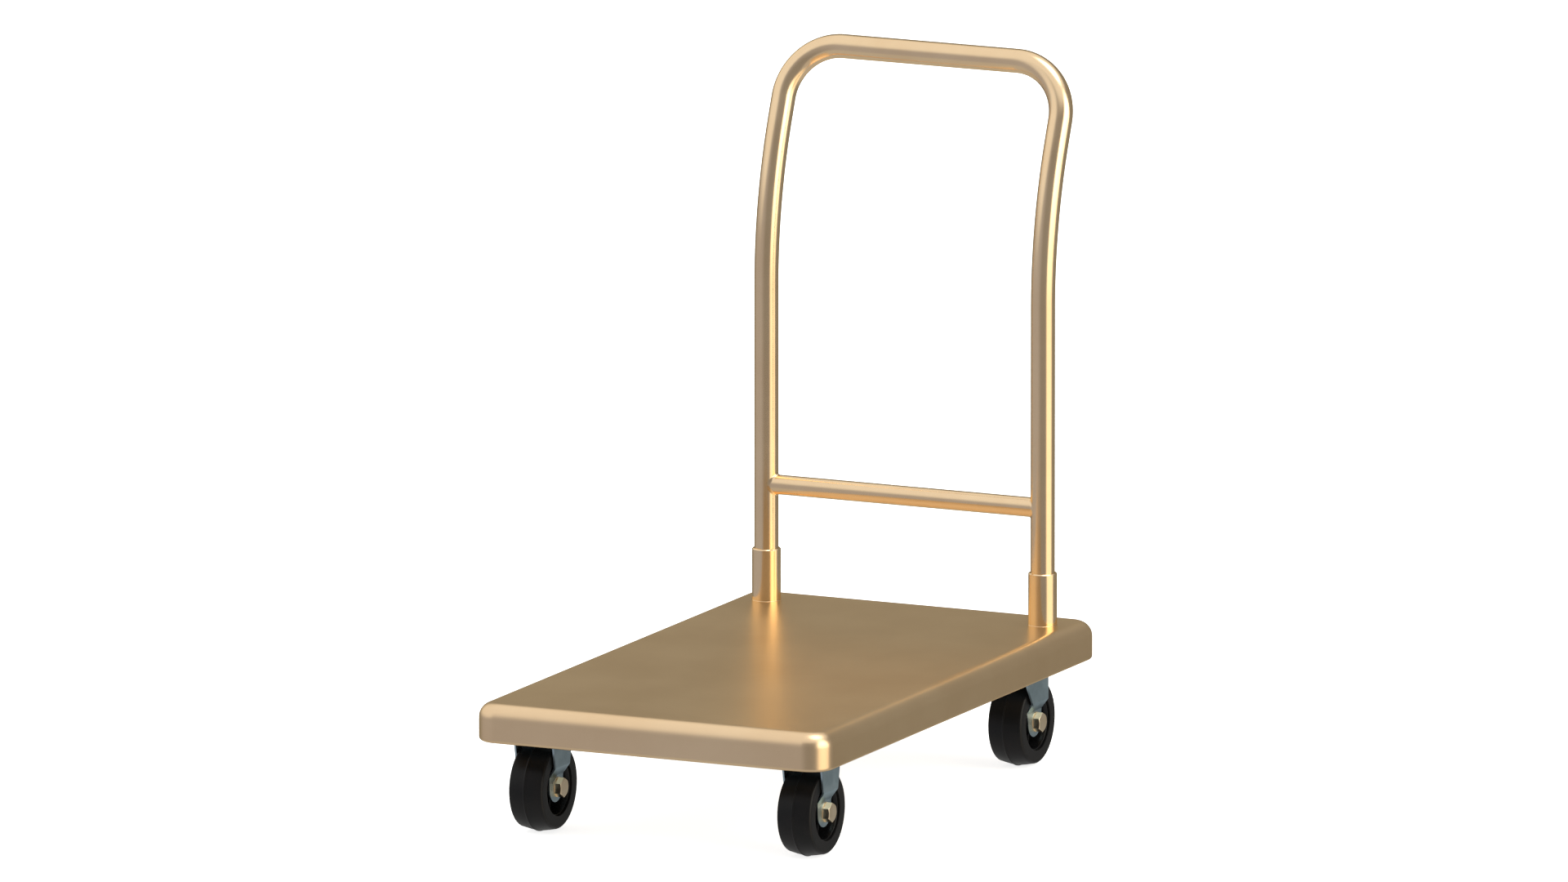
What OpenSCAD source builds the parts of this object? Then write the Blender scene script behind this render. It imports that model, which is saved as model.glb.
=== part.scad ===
// Hotel luggage cart: a satin gold platform deck on four casters, with a bent push
// handle at one end. Millimetres, +Z up, the handle towards +Y, rigid casters at -Y.
// The origin is on the ground, under the middle of the whole cart.

/* [Deck] */
// Width of the deck
deck_w = 531; // [460:1:700]
// Length of the deck
deck_l = 906; // [760:1:1200]
// Depth of the deck's skirt
skirt_h = 53.3; // [46:0.1:70]
// Sheet thickness of the deck
deck_t = 2; // [1.5:0.1:3]
// Radius of the deck's corners, seen from above
corner_r = 34.5; // [28:0.5:60]
// Radius between the deck's top and its skirt
top_r = 21; // [10:0.5:26]
// Radius of the rolled lower edge of the skirt
lip_r = 5.2; // [4:0.1:7]
// Flat width of the lip that is turned in past that radius
lip_flat = 1.5; // [0:0.1:6]

/* [Frame under the deck] */
// Depth of the cross channels and stiffeners
channel_h = 20; // [16:1:26]
// Width of a cross channel
channel_w = 110; // [106:1:140]
// Sheet thickness of channels and stiffeners
channel_t = 2.5; // [2:0.1:4]
// Gap between the ends of a cross channel and the deck's top radius
channel_end_gap = 1.5; // [0.5:0.5:10]
// Width of a stiffener's hat section
stiffener_w = 44; // [30:1:60]
// Width of the flanges along a stiffener's hat section
stiffener_flange = 10; // [6:1:20]
// Distance of the side stiffeners from the middle
stiffener_x = 150; // [90:1:170]
// Gap at the ends of a stiffener
stiffener_gap = 0.5; // [0.2:0.1:5]

/* [Handle] */
// Outer diameter of the handle tube
tube_d = 33.7; // [28:0.1:42]
// Wall of the handle tube
tube_t = 2; // [1.2:0.1:3]
// Distance between the two posts, centre to centre
post_spacing = 420.4; // [340:0.5:480]
// Distance from the rear edge of the deck to the posts
post_inset = 71.2; // [58:0.5:78]
// Height at which the posts start to lean back
lean_start_z = 632; // [480:1:700]
// Radius of the lean-back bend
lean_r = 597; // [300:5:900]
// Angle of the leaning part
lean_angle = 22; // [5:0.1:25]
// Radius of the bend between a post and the push bar
bar_bend_r = 78; // [50:1:90]
// Height of the middle of the push bar
bar_z = 958.5; // [940:0.5:1080]
// Outer diameter of the cross bar
cross_bar_d = 27.6; // [20:0.1:30]
// Wall of the cross bar
cross_bar_t = 2; // [1.2:0.1:3]
// Height of the middle of the cross bar
cross_bar_z = 352; // [290:1:600]
// Weld gap between the cross bar and a post
weld_gap = 0.05; // [0.02:0.01:0.3]

/* [Handle fixing] */
// Wall thickness of a socket
socket_t = 3; // [1.5:0.1:6]
// Height of a socket above the deck
socket_h = 73; // [40:1:120]
// Gap between a socket and its hole in the deck
socket_seat_gap = 0.05; // [0.02:0.01:0.2]
// Gap between the tube and its socket
socket_gap = 0.15; // [0.05:0.01:0.5]
// Chamfer at the top of a socket
socket_chamfer = 1.4; // [0.5:0.1:2.5]
// Length of the threaded plug in a tube end
plug_h = 40; // [25:1:60]
// Gap between a plug and its tube
plug_gap = 0.05; // [0.02:0.01:0.2]
// Diameter of the handle bolt
handle_bolt_d = 10; // [8:1:12]
// Depth to which the handle bolt enters its plug
handle_bolt_reach = 25; // [15:1:30]
// Length and width of a backing plate
backing_size = [56, 48]; // [40:1:60]
// Thickness of a backing plate
backing_t = 5; // [3:0.5:8]

/* [Wheels] */
// Diameter of a wheel over its tread's centre line
wheel_d = 125; // [100:1:160]
// Overall width of a tyre
tyre_w = 51; // [44:0.5:51.4]
// Height of the small ridge around the middle of the tread
ridge_h = 0.9; // [0:0.1:2]
// Half width of that ridge
ridge_w = 1.6; // [0.5:0.1:4]
// Fall of the tread from the ridge to its edge
tread_fall = 3.4; // [0:0.1:6]
// Half width of the tread
tread_w = 21; // [12:0.5:22]
// Radius of the tyre's shoulder
shoulder_r = 4.5; // [2:0.1:4.6]
// Radius of the opening in the side of the tyre
tyre_side_r = 39.4; // [34:0.1:42]
// Outer radius of the wheel core's rim
rim_r = 42.5; // [40:0.1:46]
// Half width of the rim
rim_w = 22; // [16:0.5:23]
// Radius of the rim's inner ledge
ledge_r = 35; // [30:0.5:36]
// Distance of the ledge from the middle of the wheel
ledge_x = 14.6; // [10:0.1:18]
// Thickness of the web between rim and hub
web_t = 7; // [4:0.5:12]
// Outer radius of the hub
hub_r = 17; // [15:0.5:20]
// Half width of the hub
hub_w = 16; // [12:0.1:16]
// Number of ribs on each side of the web
ribs = 8; // [4:1:12]
// Thickness of a rib
rib_t = 2.2; // [1:0.1:4]
// Height of a rib above the web
rib_h = 7; // [3:0.5:9]

/* [Axles] */
// Diameter of an axle bolt
axle_d = 16; // [12:1:18]
// Wall of the steel bush on the axle bolt
bush_t = 3; // [2:0.5:4]
// Running clearance, on the radius, between the hub and its bush
running_gap = 0.05; // [0.02:0.01:0.1]
// Clearance, on the radius, between the bush or a fork and the axle bolt
axle_gap = 0.04; // [0.02:0.01:0.2]
// Width across the flats of the axle's head and nut
axle_af = 24; // [19:0.5:26]
// Height of the axle's head and nut
axle_head_h = 10; // [7:0.5:14]
// Diameter of the outer washers
washer_d = 28; // [26:0.5:32]
// Thickness of the outer washers
washer_t = 3; // [1.5:0.5:4]
// Gap at each face of the hub
hub_gap = 0.3; // [0.2:0.05:0.5]

/* [Caster forks] */
// Sheet thickness of the forks
fork_t = 2.5; // [2:0.1:3]
// Gap between the tyre's side and a fork's leg
tyre_gap = 2; // [1.5:0.1:5]
// Room between the top of a wheel and the crown of its fork
tyre_room = 28; // [26:0.5:60]
// Distance from the wheel's middle to the outer face of a leg's lower end
lobe_x = 19.9; // [19.5:0.1:21]
// Radius of a leg's rounded lower end
lobe_r = 21; // [18:0.5:23]
// Height above the axle at which the inward step starts
step_low = 15.4; // [12:0.1:20]
// Height above the axle at which the inward step ends
step_high = 29.7; // [26:0.1:34]
// Half width of a rigid leg just above its step
rigid_leg_low = 22.8; // [20:0.1:26]
// Half width of a rigid leg at its top
rigid_leg_high = 30; // [24:0.1:32]
// Height above the axle at which a rigid leg stops widening
rigid_leg_rise = 66; // [50:1:80]

/* [Caster plates] */
// Size of a mounting plate
plate_size = [84, 105]; // [80:1:120]
// Thickness of a mounting plate
plate_t = 4; // [3:0.5:6]
// Corner radius of a mounting plate
plate_corner_r = 8; // [4:1:12]
// Distance between a plate's bolt holes
plate_holes = [60, 80]; // [50:1:84]
// Diameter of a plate's bolts
plate_bolt_d = 8; // [6:1:8]
// Distance of a wheel from the deck's side edge
wheel_inset = 63.3; // [60:0.1:90]
// Distance of the front axles from the deck's front edge
front_inset = 97.3; // [80:0.1:140]
// Distance of the rear swivel axes from the deck's rear edge
swivel_inset = 150.9; // [148:0.1:220]

/* [Swivel casters] */
// Distance by which the axle trails the swivel axis
trail = 28; // [20:0.5:30]
// Gap between a swivel plate and the fork's crown
swivel_gap = 6.5; // [6:0.1:8]
// Thickness of the fork's crown
crown_t = 3.5; // [3:0.1:5]
// Distance of the crown's front and rear edges from the swivel axis
crown_reach = [42, 34]; // [30:1:44]
// Distance of the front flange's crease ahead of the axle
crease_y = 18.6; // [16:0.1:22]
// Angle by which the front flange turns in
flange_angle = 5; // [2:0.5:6]
// Distance of the rear edge of the leg behind the axle
leg_rear = 23.6; // [20:0.1:25]
// Diameter of the kingpin
kingpin_d = 12; // [10:0.5:14]
// Diameter of the upper balls
upper_ball_d = 7.5; // [7:0.1:9]
// Radius of the upper ball ring
upper_ring_r = 24; // [22:0.5:26]
// Number of upper balls
upper_balls = 18; // [12:1:19]
// Diameter of the lower balls
lower_ball_d = 5; // [4:0.1:6]
// Radius of the lower ball ring
lower_ring_r = 14; // [12:0.5:17]
// Number of lower balls
lower_balls = 15; // [10:1:16]
// Clearance around the balls in their races
ball_gap = 0.05; // [0.02:0.01:0.15]
// Thickness of the lower race
lower_race_t = 3; // [2:0.5:5]

/* [Hidden] */
$fn = 96;
eps = 1;                    // how far a cutter runs past a face

// Colours
gold = [0.74, 0.62, 0.46];
zinc = [0.56, 0.61, 0.63];
brass = [0.83, 0.76, 0.58];
black = [0.11, 0.11, 0.12];

// Handle path: lean-back bend, straight, corner bend, push bar
lean_top_z = lean_start_z + lean_r * sin(lean_angle);
lean_back_y = lean_r * (1 - cos(lean_angle));
lean_run = (bar_z - lean_top_z) / cos(lean_angle);
lean_straight = lean_run - bar_bend_r;
bar_back_y = lean_back_y + lean_run * sin(lean_angle);
tube_r = tube_d / 2;
socket_d = tube_d + 2 * (socket_gap + socket_t);
bend_thin = 0.05;           // difference in radius where two lengths of the tube meet
bend_lap = 0.1;             // how far one length runs into the next there
post_x = post_spacing / 2;

// The origin is midway between the deck's front edge and the back of the push bar
bar_overhang = max(0, bar_back_y + tube_r - post_inset);
deck_y = -bar_overhang / 2;
front_edge = deck_y - deck_l / 2;
rear_edge = deck_y + deck_l / 2;
post_y = rear_edge - post_inset;

// Heights, from the ground up
axle_z = wheel_d / 2;
crown_under = wheel_d + tyre_room;
crown_top = crown_under + crown_t;
plate_under = crown_top + swivel_gap;
plate_top = plate_under + plate_t;
deck_under = plate_top + channel_h;
deck_top = deck_under + deck_t;
skirt_z = deck_top - skirt_h;

// Cross channels and stiffeners
channel_l = deck_w - 2 * (top_r + channel_end_gap);
front_axle_y = front_edge + front_inset;
swivel_y = rear_edge - swivel_inset;
rear_axle_y = swivel_y + trail;
stiffener_l = swivel_y - front_axle_y - channel_w - 2 * stiffener_gap;
stiffener_y = (swivel_y + front_axle_y) / 2;
wheel_x = deck_w / 2 - wheel_inset;

// Wheel and fork
tyre_x = tyre_w / 2;
leg_x = tyre_x + tyre_gap + fork_t;
lobe_in = lobe_x - fork_t;
bush_r = axle_d / 2 + axle_gap + bush_t;
bush_w = lobe_in;             // the bush is clamped between the legs
thrust_gap = 0.05;
step_slope = (leg_x - lobe_x) / (step_high - step_low);
neck = fork_t * sqrt(1 + step_slope * step_slope);
thread_end = 0.5;           // how far a nut covers its bolt's end
head_face = 0.97;           // a head's round end face, as a share of its flats' width
web_draft = 2;              // how far the core slopes from its web out to the ledge
rim_draft = 1.4;            // and from the tyre's opening in to the ledge
neck_drop = 4;              // where a lobe's rear edge meets the neck, below the step's top

// Swivel head
kingpin_r = kingpin_d / 2;
upper_ball_z = (plate_under + crown_top) / 2;
lower_ball_dip = 0.5;
lower_ball_z = crown_under + lower_ball_dip - lower_ball_d / 2;
lower_race_top = lower_ball_z - lower_ball_d / 2 + lower_ball_dip;
kingpin_head_h = 4;
kingpin_head_r = 11;
race_margin = 1.5;          // from the balls to the lower race's edge
rivet_r = 8;
rivet_h = 2;
seal_t = 1.5;
seal_margin = 3.2;          // from the balls to the seal's outer face
seal_r = upper_ring_r + upper_ball_d / 2 + seal_margin;
seal_gap = 0.5;

// Front flange of a swivel fork, measured ahead of its crease and above the step
flange_foot = 9;            // length of its lower edge
flange_start = 10;          // where it meets the lobe
flange_drop = 2;            // how far it hangs below the step's top
flange_knee = [32, 28];     // where its sloping edge turns up
flange_end = 1;             // how far it stops short of the crown's edge
flange_lap = 0.5;           // how far it runs into the leg
shoulder_drop = 13;         // start of the rear edge's slope, below the deck's skirt

// Caster bolts: head under the plate, nut above the channel's web
plate_bolt_r = plate_bolt_d / 2;
plate_bolt_af = 13;
plate_bolt_head = 5.3;
plate_nut_h = 6.5;
hole_gap = 0.5;             // a bolt hole's clearance on the radius
bolt_tail = 2;              // how far a bolt stands past its nut

// Handle bolts
handle_bolt_r = handle_bolt_d / 2;
handle_bolt_af = 16;
handle_bolt_head = 6.4;
handle_washer_t = 2;
handle_washer_d = 22;
thread_gap = 0.03;          // between a bolt and the thread that it is drawn in
backing_under = deck_under - backing_t;

// ---- helpers ----

module both_sides() {
    for (s = [-1, 1]) scale_x(s) children();
}

module scale_x(s) {
    if (s < 0) mirror([1, 0, 0]) children();
    else children();
}

// A bar along X, centred, with its section given in the Y-Z plane
module along_x(len) {
    rotate([90, 0, 90]) linear_extrude(len, center = true) children();
}

// A bar along Y, centred, with its section given in the X-Z plane
module along_y(len) {
    rotate([90, 0, 0]) linear_extrude(len, center = true) children();
}

module hex(af, h) {
    cylinder(h = h, d = af / cos(30), $fn = 6);
}

// A hexagon with the corners of its outer end turned off at 30 degrees
module hex_head(af, h) {
    corner_d = af / cos(30);
    rise = (corner_d - af) / 2 * tan(30);
    intersection() {
        hex(af, h);
        union() {
            cylinder(h = h - rise, d = corner_d + eps);
            translate([0, 0, h - rise])
                cylinder(h = rise, d1 = corner_d, d2 = af * head_face);
        }
    }
}

module washer(d, bore_d, t) {
    difference() {
        cylinder(h = t, d = d);
        translate([0, 0, -eps]) cylinder(h = t + 2 * eps, d = bore_d);
    }
}

module rounded_plate(size, r, t) {
    for (s = [[size[0], size[1] - 2 * r], [size[0] - 2 * r, size[1]]])
        translate([-s[0] / 2, -s[1] / 2, 0]) cube([s[0], s[1], t]);
    for (x = [-1, 1], y = [-1, 1])
        translate([x * (size[0] / 2 - r), y * (size[1] / 2 - r), 0])
            cylinder(h = t, r = r);
}

// ---- deck ----

// Section of a slab of width w from z0 to z1, with its edges rounded
module slab_section(w, z0, z1, rt, rb) {
    translate([-w / 2 + rt, z0]) square([w - 2 * rt, z1 - z0]);
    translate([-w / 2, z0 + rb]) square([w, z1 - z0 - rt - rb]);
    translate([-w / 2 + rb, z0]) square([w - 2 * rb, z1 - z0 - rt]);
    for (s = [-1, 1]) {
        translate([s * (w / 2 - rt), z1 - rt]) circle(rt);
        translate([s * (w / 2 - rb), z0 + rb]) circle(rb);
    }
}

// Slab with rounded corners, a top radius rt and a bottom radius rb
module slab(w, l, r, z0, z1, rt, rb) {
    along_y(l - 2 * r) slab_section(w, z0, z1, rt, rb);
    along_x(w - 2 * r) slab_section(l, z0, z1, rt, rb);
    for (q = [0:3])
        translate([(q == 0 || q == 3 ? 1 : -1) * (w / 2 - r), (q < 2 ? 1 : -1) * (l / 2 - r), 0])
            rotate(90 * q) rotate_extrude(angle = 90) intersection() {
                slab_section(2 * r, z0, z1, rt, rb);
                translate([0, z0 - eps]) square([r + eps, z1 - z0 + 2 * eps]);
            }
}

module deck_pan() {
    lip = lip_r + lip_flat;
    color(gold) difference() {
        translate([0, deck_y, 0])
            slab(deck_w, deck_l, corner_r, skirt_z, deck_top, top_r, lip_r);
        translate([0, deck_y, 0])
            slab(deck_w - 2 * deck_t, deck_l - 2 * deck_t, corner_r - deck_t,
                 skirt_z + deck_t, deck_under, top_r - deck_t, lip_r - deck_t);
        translate([0, deck_y, skirt_z - eps])
            rounded_plate([deck_w - 2 * lip, deck_l - 2 * lip], corner_r - lip,
                          deck_t + 2 * eps);
        for (s = [-1, 1]) translate([s * post_x, post_y, deck_under - eps])
            cylinder(h = deck_t + 2 * eps, r = socket_d / 2 + socket_seat_gap);
    }
}

// Cross channel: a web with two flanges up to the deck, drilled for two casters
module channel(y) {
    color(zinc) translate([0, y, 0]) difference() {
        translate([-channel_l / 2, -channel_w / 2, plate_top])
            cube([channel_l, channel_w, channel_h]);
        translate([-channel_l / 2 - eps, -channel_w / 2 + channel_t, plate_top + channel_t])
            cube([channel_l + 2 * eps, channel_w - 2 * channel_t, channel_h]);
        both_sides() translate([wheel_x, 0, plate_top - eps])
            at_plate_holes() cylinder(h = channel_t + 2 * eps, r = plate_bolt_r + hole_gap);
    }
}

// Hat-section stiffener along the deck, its flanges against the deck
module stiffener(x) {
    t = channel_t;
    color(zinc) translate([x, stiffener_y, 0]) along_y(stiffener_l) {
        for (s = [-1, 1]) {
            translate([s * (stiffener_w - t) / 2 - t / 2, plate_top]) square([t, channel_h]);
            translate([s * (stiffener_w + stiffener_flange) / 2 - stiffener_flange / 2,
                       deck_under - t])
                square([stiffener_flange, t]);
        }
        translate([-stiffener_w / 2, plate_top]) square([stiffener_w, t]);
    }
}

module backing_plate(s) {
    color(zinc) translate([s * post_x, post_y, backing_under]) difference() {
        translate([-backing_size[0] / 2, -backing_size[1] / 2, 0])
            cube([backing_size[0], backing_size[1], backing_t]);
        translate([0, 0, -eps]) cylinder(h = backing_t + 2 * eps, r = handle_bolt_r + hole_gap);
    }
}

// ---- handle ----

// A socket goes through the deck's sheet and stands on the backing plate
module socket(s) {
    h = deck_t + socket_h;
    color(gold) translate([s * post_x, post_y, deck_under]) difference() {
        union() {
            cylinder(h = h - socket_chamfer, d = socket_d);
            translate([0, 0, h - socket_chamfer])
                cylinder(h = socket_chamfer, d1 = socket_d, d2 = socket_d - 2 * socket_chamfer);
        }
        translate([0, 0, -eps]) cylinder(h = h + 2 * eps, r = tube_r + socket_gap);
    }
}

// One side of the handle's run, from the right post's foot to the push bar, with a round
// section of radius r. foot is how far it runs below the backing plate's top.
module handle_side(r, foot) {
    translate([post_x, post_y, deck_under - foot])
        cylinder(h = lean_start_z - deck_under + foot + bend_lap, r = r);
    translate([post_x, post_y + lean_r, lean_start_z])
        rotate([90, 0, 90]) rotate(180 - lean_angle)
            rotate_extrude(angle = lean_angle) translate([lean_r, 0]) circle(r - bend_thin);
    translate([post_x, post_y + lean_back_y, lean_top_z]) rotate([-lean_angle, 0, 0]) {
        translate([0, 0, -bend_lap]) cylinder(h = lean_straight + bend_lap, r = r);
        translate([-bar_bend_r, 0, lean_straight]) rotate([90, 0, 0])
            rotate_extrude(angle = 90) translate([bar_bend_r, 0]) circle(r);
    }
}

module push_bar(r) {
    translate([0, post_y + bar_back_y, bar_z]) rotate([0, 90, 0])
        cylinder(h = post_spacing - 2 * (bar_bend_r - bend_lap), r = r - bend_thin,
                 center = true);
}

module handle_tube() {
    color(gold) difference() {
        union() {
            both_sides() handle_side(tube_r, 0);
            push_bar(tube_r);
        }
        both_sides() handle_side(tube_r - tube_t, eps);
        push_bar(tube_r - tube_t);
    }
}

// Tube between the posts, with a saddle at each end
module cross_bar() {
    color(gold) difference() {
        translate([0, post_y, cross_bar_z]) rotate([0, 90, 0])
            cylinder(h = post_spacing, d = cross_bar_d, center = true);
        translate([0, post_y, cross_bar_z]) rotate([0, 90, 0])
            cylinder(h = post_spacing + 2 * eps, d = cross_bar_d - 2 * cross_bar_t, center = true);
        for (s = [-1, 1]) translate([s * post_x, post_y, cross_bar_z - cross_bar_d])
            cylinder(h = 2 * cross_bar_d, r = tube_r + weld_gap);
    }
}

module tube_plugs() {
    color(zinc) both_sides() translate([post_x, post_y, deck_under])
        washer(2 * (tube_r - tube_t - plug_gap), handle_bolt_d + 2 * thread_gap, plug_h);
}

module handle_bolts() {
    head_z = backing_under - handle_washer_t;
    color(zinc) both_sides() translate([post_x, post_y, head_z]) {
        cylinder(h = deck_under - head_z + handle_bolt_reach, r = handle_bolt_r);
        mirror([0, 0, 1]) hex_head(handle_bolt_af, handle_bolt_head);
    }
}

module handle_washers() {
    color(zinc) both_sides() translate([post_x, post_y, backing_under - handle_washer_t])
        washer(handle_washer_d, handle_bolt_d + 2 * hole_gap, handle_washer_t);
}

// ---- wheels: drawn with the axle along Z at the origin, and turned into place ----

// Half section of the tyre: x is the radius, y the distance from the middle
module tyre_section() {
    tread_r = wheel_d / 2 - ridge_h;
    edge_r = tread_r - tread_fall;
    polygon([[rim_r, 0], [wheel_d / 2, 0], [tread_r, ridge_w], [edge_r, tread_w],
             [edge_r, tyre_x - shoulder_r], [edge_r - shoulder_r, tyre_x],
             [tyre_side_r, tyre_x], [tyre_side_r, rim_w], [rim_r, rim_w]]);
    translate([edge_r - shoulder_r, tyre_x - shoulder_r]) circle(shoulder_r);
}

module tyre() {
    color(black) for (s = [0, 1]) mirror([0, 0, s])
        rotate_extrude() tyre_section();
}

module wheel_core() {
    color(black) difference() {
        union() {
            for (s = [0, 1]) mirror([0, 0, s]) rotate_extrude() polygon([
                [0, 0], [0, hub_w], [hub_r, hub_w], [hub_r, web_t / 2],
                [ledge_r - web_draft, web_t / 2], [ledge_r, ledge_x],
                [tyre_side_r - rim_draft, rim_w],
                [rim_r, rim_w], [rim_r, 0]]);
            for (i = [0:ribs - 1]) rotate(360 / ribs * i)
                translate([hub_r - 1, -rib_t / 2, -web_t / 2 - rib_h])
                    cube([ledge_r - hub_r, rib_t, web_t + 2 * rib_h]);
        }
        cylinder(h = 3 * hub_w, r = bush_r + running_gap, center = true);
    }
}

module bush() {
    color(zinc) translate([0, 0, -bush_w])
        washer(2 * bush_r, axle_d + 2 * axle_gap, 2 * bush_w);
}

// The bolt's head is on the outer side of the cart, its nut on the inner side
module axle_bolt() {
    seat = lobe_x + washer_t;
    color(brass) {
        translate([0, 0, -seat - axle_head_h + thread_end])
            cylinder(h = 2 * seat + axle_head_h - thread_end, d = axle_d);
        translate([0, 0, seat]) hex_head(axle_af, axle_head_h);
    }
}

module axle_nut() {
    seat = lobe_x + washer_t;
    color(brass) difference() {
        mirror([0, 0, 1]) translate([0, 0, seat]) hex_head(axle_af, axle_head_h);
        translate([0, 0, -seat - axle_head_h + thread_end])
            cylinder(h = axle_head_h, r = axle_d / 2 + thread_gap);
    }
}

// Two washers outside the legs, and two thin thrust washers beside the hub
module axle_washers() {
    thrust_t = lobe_in - hub_w - hub_gap - thrust_gap;
    color(brass) for (s = [0, 1]) mirror([0, 0, s]) {
        translate([0, 0, lobe_x]) washer(washer_d, axle_d + 2 * axle_gap, washer_t);
        translate([0, 0, hub_w + hub_gap])
            washer(2 * hub_r, 2 * (bush_r + axle_gap), thrust_t);
    }
}

// ---- forks ----

// Section of the right leg, seen along Y: straight, inward step, straight lobe
module leg_section(top) {
    polygon([[lobe_in, axle_z - lobe_r - eps], [lobe_x, axle_z - lobe_r - eps],
             [lobe_x, axle_z + step_low], [leg_x, axle_z + step_high], [leg_x, top],
             [leg_x - fork_t, top], [leg_x - fork_t, axle_z + step_high + (neck - fork_t)],
             [lobe_in, axle_z + step_low + (neck - fork_t)]]);
}

// Both legs of a fork, cut to the side outline that the children give in the Y-Z plane
module legs(top) {
    both_sides() intersection() {
        along_y(4 * lobe_r + 2 * axle_z) leg_section(top);
        along_x(4 * leg_x) children();
    }
}

// Lobe around an axle, with the neck that joins it to a leg
module lobe_outline(front, rear) {
    translate([0, axle_z]) circle(lobe_r);
    polygon([[-lobe_r, axle_z], [lobe_r, axle_z], [rear, axle_z + step_high - neck_drop],
             [rear, axle_z + step_high], [-front, axle_z + step_high]]);
}

module axle_hole() {
    translate([0, 0, axle_z]) rotate([0, 90, 0])
        cylinder(h = 4 * leg_x, r = axle_d / 2 + axle_gap, center = true);
}

module at_plate_holes() {
    for (x = [-1, 1], y = [-1, 1])
        translate([x * plate_holes[0] / 2, y * plate_holes[1] / 2, 0]) children();
}

module mounting_plate() {
    translate([0, 0, plate_under]) rounded_plate(plate_size, plate_corner_r, plate_t);
}

module plate_bores() {
    translate([0, 0, plate_under - eps]) at_plate_holes()
        cylinder(h = plate_t + 2 * eps, r = plate_bolt_r + hole_gap);
}

// Rigid fork: the origin is under the axle
module rigid_fork() {
    color(zinc) difference() {
        union() {
            mounting_plate();
            legs(plate_under + plate_t / 2) {
                lobe_outline(rigid_leg_low, rigid_leg_low);
                polygon([[-rigid_leg_low, axle_z + step_high - eps],
                         [rigid_leg_low, axle_z + step_high - eps],
                         [rigid_leg_high, axle_z + rigid_leg_rise],
                         [rigid_leg_high, plate_top], [-rigid_leg_high, plate_top],
                         [-rigid_leg_high, axle_z + rigid_leg_rise]]);
            }
        }
        plate_bores();
        axle_hole();
    }
}

// Swivel fork: the origin is under the swivel axis, the axle trails it towards +Y
module swivel_fork() {
    crease = trail - crease_y;
    leg_top = crown_top - crown_t / 2;
    step_z = axle_z + step_high;
    flange_top = crease + crown_reach[0];
    crown_x = leg_x - flange_top * tan(flange_angle);
    low_front = crease_y + flange_start;
    color(zinc) difference() {
        union() {
            translate([0, trail, 0]) legs(leg_top) {
                lobe_outline(low_front, leg_rear);
                polygon([[-crease_y, step_z - eps], [leg_rear, step_z - eps],
                         [leg_rear, skirt_z - shoulder_drop], [crown_reach[1] - trail, leg_top],
                         [-crease_y, leg_top]]);
            }
            // Front flange, turned in about the crease
            both_sides() translate([leg_x, crease, 0]) rotate(flange_angle)
                translate([-fork_t / 2, 0, 0]) along_x(fork_t)
                    polygon([[flange_lap, step_z - flange_drop],
                             [-flange_foot, step_z - flange_drop], [-flange_start, step_z],
                             [-flange_knee[0], step_z + flange_knee[1]],
                             [-flange_top + flange_end, leg_top], [flange_lap, leg_top]]);
            // Crown
            translate([0, 0, crown_under]) linear_extrude(crown_t) polygon([
                [-leg_x, crown_reach[1]], [leg_x, crown_reach[1]], [leg_x, crease],
                [crown_x, -crown_reach[0]], [-crown_x, -crown_reach[0]], [-leg_x, crease]]);
        }
        translate([0, trail, 0]) axle_hole();
        translate([0, 0, crown_under - eps])
            cylinder(h = crown_t + 2 * eps, r = kingpin_r + running_gap);
        groove(upper_ring_r, upper_ball_z, upper_ball_d);
        groove(lower_ring_r, lower_ball_z, lower_ball_d);
    }
}

// ---- swivel head: the origin is under the swivel axis ----

module groove(ring_r, z, ball_d) {
    translate([0, 0, z]) rotate_extrude() translate([ring_r, 0])
        circle(ball_d / 2 + ball_gap);
}

module swivel_plate() {
    color(zinc) difference() {
        mounting_plate();
        plate_bores();
        groove(upper_ring_r, upper_ball_z, upper_ball_d);
        translate([0, 0, plate_under - eps]) cylinder(h = plate_t + 2 * eps, r = kingpin_r);
        translate([0, 0, plate_top - rivet_h]) cylinder(h = rivet_h, r1 = kingpin_r, r2 = rivet_r);
    }
}

module kingpin() {
    race_under = lower_race_top - lower_race_t;
    color(zinc) {
        translate([0, 0, race_under - kingpin_head_h])
            cylinder(h = kingpin_head_h, r = kingpin_head_r);
        translate([0, 0, race_under]) cylinder(h = plate_top - race_under, r = kingpin_r);
        translate([0, 0, plate_top - rivet_h]) cylinder(h = rivet_h, r1 = kingpin_r, r2 = rivet_r);
    }
}

module ball_ring(count, ring_r, z, ball_d) {
    color(zinc) for (i = [0:count - 1]) rotate(360 / count * i)
        translate([ring_r, 0, z]) sphere(d = ball_d, $fn = 24);
}

module lower_race() {
    color(zinc) difference() {
        translate([0, 0, lower_race_top - lower_race_t])
            washer(2 * (lower_ring_r + lower_ball_d / 2 + race_margin), kingpin_d, lower_race_t);
        groove(lower_ring_r, lower_ball_z, lower_ball_d);
    }
}

module dust_seal() {
    h = swivel_gap - seal_gap;
    color(black) translate([0, 0, plate_under - h]) washer(2 * seal_r, 2 * (seal_r - seal_t), h);
}

// ---- placing ----

module front(s) {
    scale_x(s) translate([wheel_x, front_axle_y, 0]) children();
}

module rear(s) {
    scale_x(s) translate([wheel_x, swivel_y, 0]) children();
}

// Turns a wheel part's Z to +X, and lifts it to the axle
module on_axle(y = 0) {
    translate([0, y, axle_z]) rotate([0, 90, 0]) children();
}

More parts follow.
